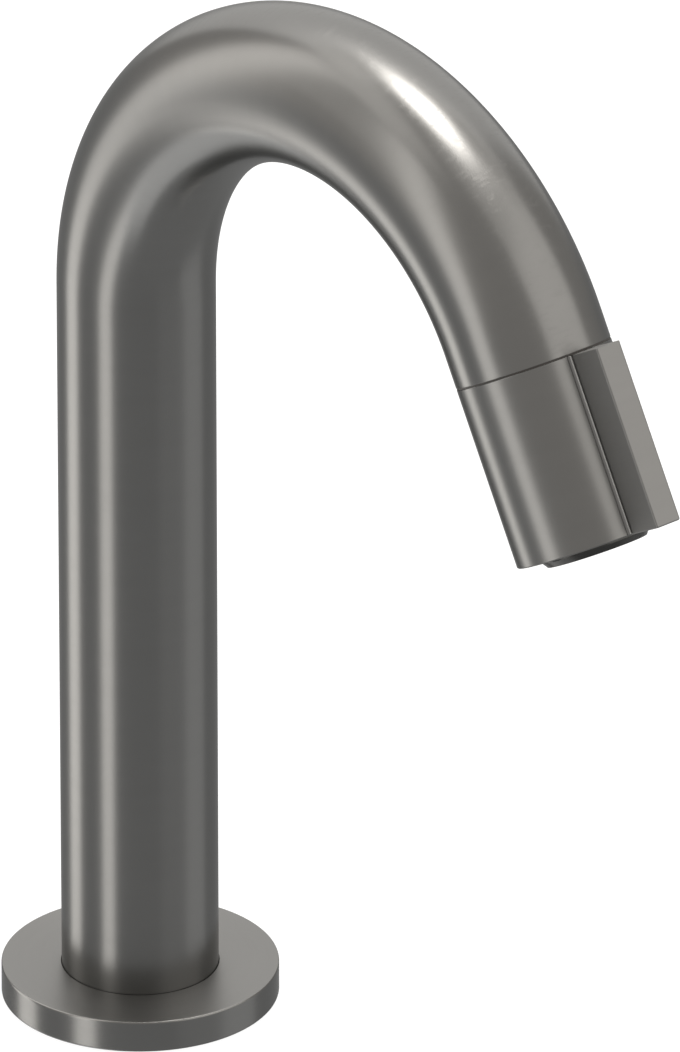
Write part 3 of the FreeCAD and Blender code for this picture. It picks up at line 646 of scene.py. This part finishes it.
def direction(azimuth, elevation):
    """Unit vector from the tap; azimuth 0 is the front and 90 the right."""
    turn, tilt = math.radians(azimuth), math.radians(elevation)
    return Vector((math.sin(turn) * math.cos(tilt), -math.cos(turn) * math.cos(tilt),
                   math.sin(tilt)))


def camera():
    """Camera of the photograph; the tap's origin lies off the picture's middle."""
    towards = direction(CAMERA_AZIMUTH, CAMERA_ELEVATION)
    turn = towards.to_track_quat("Z", "Y")
    right, up = turn @ Vector((1, 0, 0)), turn @ Vector((0, 1, 0))
    data = bpy.data.cameras.new("camera")
    data.lens = CAMERA_LENS
    data.clip_end = CAMERA_CLIP_END
    seen = bpy.data.objects.new("camera", data)
    seen.rotation_mode = "QUATERNION"
    seen.rotation_quaternion = turn @ Quaternion((0, 0, 1), CAMERA_ROLL)
    aside, above = ORIGIN_IN_PICTURE
    seen.location = towards * CAMERA_DISTANCE - right * aside - up * above
    bpy.context.scene.collection.objects.link(seen)
    bpy.context.scene.camera = seen


def softboxes():
    """Square-edged lamps all round; the table stops no light, so the low ones shine through it."""
    for name, azimuth, elevation, width, height, distance, brightness, colour in SOFTBOXES:
        data = bpy.data.lights.new(name, "AREA")
        data.shape = "RECTANGLE"
        data.size = 2 * distance * math.tan(math.radians(width / 2))
        data.size_y = 2 * distance * math.tan(math.radians(height / 2))
        data.energy = brightness * math.pi * data.size * data.size_y
        data.color = colour
        lamp = bpy.data.objects.new(name, data)
        towards = direction(azimuth + CAMERA_AZIMUTH, elevation)
        lamp.location = TAP_CENTRE + towards * distance
        lamp.rotation_mode = "QUATERNION"
        lamp.rotation_quaternion = towards.to_track_quat("Z", "Y")
        lamp.visible_camera = False
        bpy.context.scene.collection.objects.link(lamp)


def emission(name):
    """Material whose surface is one emission, with its tree and that node."""
    made = bpy.data.materials.new(name)
    made.use_nodes = True
    tree = made.node_tree
    tree.nodes.remove(tree.nodes["Principled BSDF"])
    glow = node(tree, "Emission")
    tree.links.new(glow.outputs["Emission"], tree.nodes["Material Output"].inputs["Surface"])
    return made, tree, glow


def staged(name, mesh, finish):
    """Piece of the studio, which no shadow ray meets."""
    mesh.materials.append(finish)
    made = bpy.data.objects.new(name, mesh)
    made.visible_shadow = False
    bpy.context.scene.collection.objects.link(made)
    return made


def tent():
    """Grey cloth all round that the metal mirrors between the softboxes; the camera looks through."""
    mesh = bpy.data.meshes.new("tent")
    shaped = bmesh.new()
    bmesh.ops.create_uvsphere(shaped, u_segments=TENT_SEGMENTS, v_segments=TENT_RINGS,
                              radius=TENT_RADIUS)
    shaped.to_mesh(mesh)
    shaped.free()
    cloth, tree, glow = emission("tent_cloth")
    place = node(tree, "TexCoord").outputs["Object"]
    height = node(tree, "SeparateXYZ", {"Vector": place}).outputs["Z"]
    share = node(tree, "MapRange", {"Value": height, "From Min": -TENT_BLEND,
                                    "From Max": TENT_BLEND},
                 interpolation_type="SMOOTHSTEP").outputs["Result"]
    mixed = node(tree, "Mix", {"Factor": share, "A": (*TENT_LOW, 1), "B": (*TENT_HIGH, 1)},
                 data_type="RGBA")
    tree.links.new(mixed.outputs["Result"], glow.inputs["Color"])
    cloth.cycles.emission_sampling = "NONE"
    made = staged("tent", mesh, cloth)
    made.visible_camera = False


def table():
    """White table with the tap's faint shadow, clear from below; the metal doesn't mirror it."""
    mesh = bpy.data.meshes.new("table")
    reach = TABLE_REACH
    mesh.from_pydata([(-reach, -reach, 0), (reach, -reach, 0), (reach, reach, 0), (-reach, reach, 0)],
                     [], [(0, 1, 2, 3)])
    white, tree, glow = emission("table_top")
    rays = node(tree, "LightPath")
    tree.links.new(rays.outputs["Is Camera Ray"], glow.inputs["Strength"])
    glow.inputs["Color"].default_value = TABLE_GLOW
    matt = node(tree, "BsdfDiffuse", {"Color": TABLE_MATT})
    lit = node(tree, "AddShader", {0: glow.outputs["Emission"], 1: matt.outputs["BSDF"]})
    below = node(tree, "NewGeometry").outputs["Backfacing"]
    clear = node(tree, "BsdfTransparent")
    both = node(tree, "MixShader", {0: below, 1: lit.outputs["Shader"], 2: clear.outputs["BSDF"]})
    tree.links.new(both.outputs["Shader"], tree.nodes["Material Output"].inputs["Surface"])
    made = staged("table", mesh, white)
    made.visible_glossy = False
    made.visible_diffuse = False


def backdrop():
    """White world beyond the table; the tent stands before it for all rays but the camera's."""
    world = bpy.data.worlds.new("backdrop")
    bpy.context.scene.world = world
    world.use_nodes = True
    tree = world.node_tree
    rays = node(tree, "LightPath")
    seen = node(tree, "Math", {0: rays.outputs["Is Camera Ray"], 1: rays.outputs["Is Glossy Ray"]},
                operation="MAXIMUM").outputs["Value"]
    seen = node(tree, "Math", {0: seen, 1: rays.outputs["Is Transmission Ray"]},
                operation="MAXIMUM").outputs["Value"]
    strength = node(tree, "MapRange", {"Value": seen, "To Min": WORLD_UNSEEN, "To Max": WORLD_SEEN})
    background = tree.nodes["Background"]
    background.inputs["Color"].default_value = WHITE
    tree.links.new(strength.outputs["Result"], background.inputs["Strength"])


brushed_tube = brushed_metal("brushed_gunmetal", roughness=0.275, pitch=0.4 * MM, length=5 * MM,
                             depth=0.0005 * MM, where=crown_scratches, rougher=0.08)
brushed_sleeve = brushed_metal("sleeve_gunmetal", roughness=0.3, pitch=0.3 * MM, length=12 * MM,
                               depth=0.0002 * MM, where=bar_sides, rougher=0.28)
brushed_disc = brushed_metal("turned_gunmetal", roughness=0.25, pitch=0.3 * MM, length=12 * MM,
                             depth=0.0001 * MM, where=upper_faces, rougher=0.14)
dress_cad_nodes()
dress(tube(), brushed_tube)
dress(rosette(), brushed_disc)
dress(sleeve(), brushed_sleeve)
dress(seam_ring(), PLAIN["dark_plastic"])
dress(aerator(), PLAIN["dark_metal"])
dress(shank(), bare_metal("brass", "thread", POST))
dress(soft_ring("rubber_washer", "under_deck_washer", WASHER_BORE_R, RUBBER_WASHER_EDGE, "tap_body"),
      PLAIN["rubber"])
dress(soft_ring("steel_washer", "clamp_washer", WASHER_BORE_R, STEEL_WASHER_EDGE, "tap_body"),
      bare_metal("stainless", "washer", POST))
camera()
softboxes()
tent()
table()
backdrop()
bpy.context.scene.view_settings.view_transform = "Standard"
